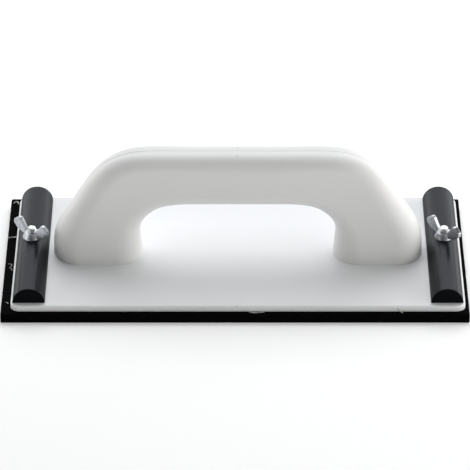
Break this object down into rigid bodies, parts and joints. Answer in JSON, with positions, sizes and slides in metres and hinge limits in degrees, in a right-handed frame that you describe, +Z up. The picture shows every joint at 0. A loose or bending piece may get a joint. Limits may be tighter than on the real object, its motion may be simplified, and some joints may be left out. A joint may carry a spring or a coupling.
{
  "type": "hand sanding block",
  "caption": "Hand sanding block: plate with a D-shaped handle over a rubber pad, and a half-round bar with a wing nut at each end to clamp the abrasive sheet.",
  "frame": {"origin": "middle of the pad's flat underside", "axes": "+X along the block's length, +Y towards its rear edge, +Z up through the handle"},
  "size_m": [0.226, 0.1112, 0.0642],
  "materials": {
    "pad_rubber": "matt black cellular rubber",
    "glue": "dried white glue",
    "plate_plastic": "satin white moulded plastic",
    "handle_plastic": "satin white moulded plastic",
    "screw_steel": "zinc plated",
    "bolt_steel": "bright zinc plated",
    "bar_plastic": "matt dark grey",
    "nut_zinc": "cast, bright zinc plated"
  },
  "bodies": {
    "base": {"sanding_pad": "pad_rubber", "pad_adhesive": "glue", "base_plate": "plate_plastic", "handle_front_shell": "handle_plastic", "handle_rear_shell": "handle_plastic", "handle_screw_left_front": "screw_steel", "handle_screw_left_rear": "screw_steel", "handle_screw_right_front": "screw_steel", "handle_screw_right_rear": "screw_steel", "clamp_bolt_left": "bolt_steel", "clamp_bolt_right": "bolt_steel"},
    "left_bar": {"clamp_bar_left": "bar_plastic"},
    "right_bar": {"clamp_bar_right": "bar_plastic"},
    "left_nut": {"wing_nut_left": "nut_zinc"},
    "right_nut": {"wing_nut_right": "nut_zinc"}
  },
  "joints": [
    {"name": "left_bar_lift", "type": "slide", "parent": "base", "child": "left_bar", "axis": [0, 0, 1], "range_m": [0, 0.0042]},
    {"name": "left_nut_spin", "type": "hinge", "parent": "left_bar", "child": "left_nut", "pos_m": [-0.0998, -0.0005, 0.0158], "axis": [0, 0, 1], "range_deg": [0, 2160]},
    {"name": "right_bar_lift", "type": "slide", "parent": "base", "child": "right_bar", "axis": [0, 0, 1], "range_m": [0, 0.0042]},
    {"name": "right_nut_spin", "type": "hinge", "parent": "right_bar", "child": "right_nut", "pos_m": [0.1026, -0.0005, 0.0158], "axis": [0, 0, 1], "range_deg": [0, 2160]}
  ],
  "couplings": [
    {"joint": "left_nut_spin", "follows": "left_bar_lift", "rad_per_m": 8976},
    {"joint": "right_nut_spin", "follows": "right_bar_lift", "rad_per_m": 8976}
  ]
}
